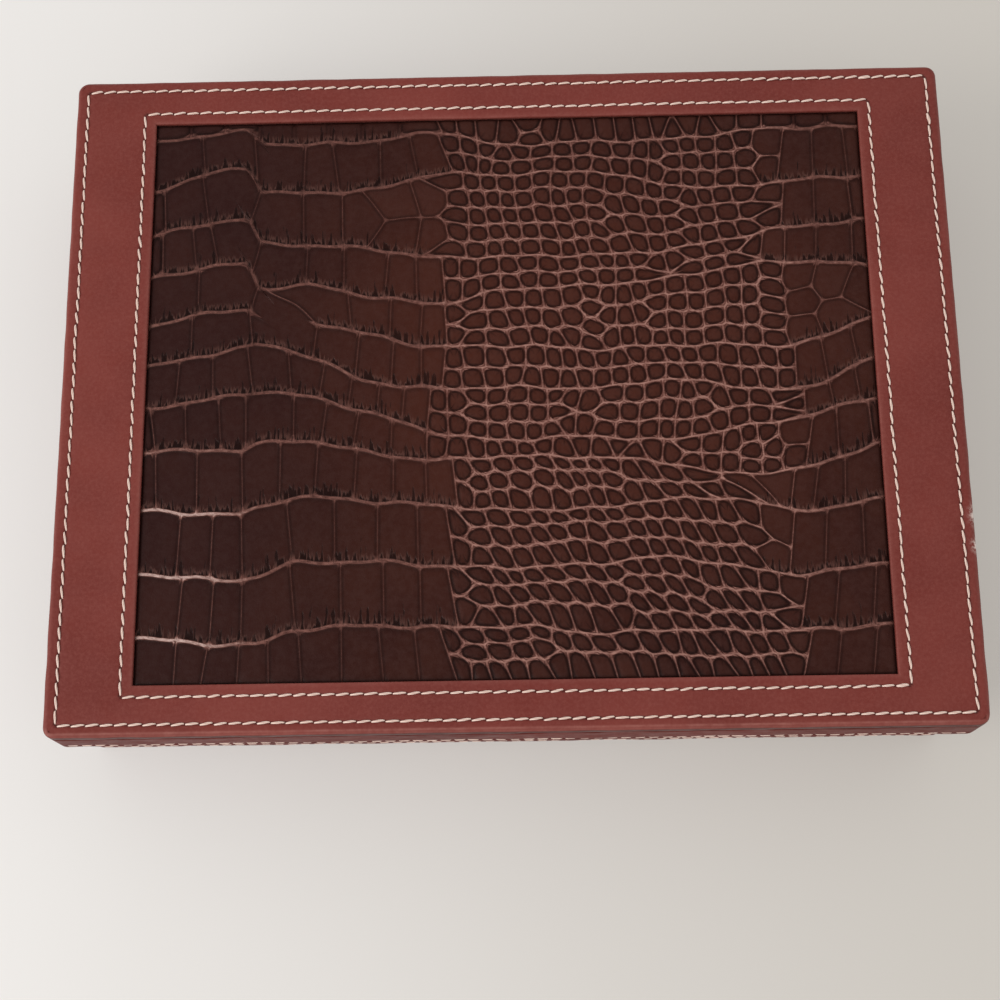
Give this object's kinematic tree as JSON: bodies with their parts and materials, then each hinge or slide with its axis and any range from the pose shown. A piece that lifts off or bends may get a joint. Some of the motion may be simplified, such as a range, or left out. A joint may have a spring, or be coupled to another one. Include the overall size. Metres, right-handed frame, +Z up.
{
  "type": "stationery box",
  "caption": "Flat leather-covered box for writing paper, with a deep lift-off lid: a smooth stitched border round a crocodile-embossed panel.",
  "frame": {"origin": "middle of the underside, on the surface that the box stands on", "axes": "+X along the long side, to the right as seen from the front; +Y to the back; +Z up, the way the lid lifts off"},
  "size_m": [0.3258, 0.251, 0.0604],
  "materials": {
    "border_leather": "smooth red-brown calf, satin, fine pores",
    "side_leather": "smooth red-brown calf, satin",
    "embossed_leather": "crocodile embossed, dark brown with paler ridges, semi-gloss",
    "underside_leather": "smooth red-brown, matt",
    "thread": "waxed cream twisted thread",
    "board": "dense grey-brown board",
    "card": "smooth card",
    "suede": "tan pigskin suede, short nap",
    "felt": "dark brown felt"
  },
  "bodies": {
    "base": {"base_bottom_board": "board", "base_front_board": "board", "base_back_board": "board", "base_left_board": "board", "base_right_board": "board", "base_side_leather": "side_leather", "base_stitching": "thread", "base_bottom_leather": "underside_leather", "base_side_lining": "suede", "floor_card": "card", "floor_lining": "suede", "base_felt": "felt"},
    "lid": {"frame_leather": "border_leather", "frame_card": "card", "croc_panel": "embossed_leather", "outer_stitching": "thread", "inner_stitching": "thread", "lid_top_board": "board", "lid_front_board": "board", "lid_back_board": "board", "lid_left_board": "board", "lid_right_board": "board", "lid_side_leather": "side_leather", "lid_side_stitching": "thread", "lid_top_lining": "suede", "lid_side_lining": "suede"}
  },
  "joints": [
    {"name": "lid_lift", "type": "slide", "parent": "base", "child": "lid", "axis": [0, 0, 1], "range_m": [0, 0.08]}
  ]
}
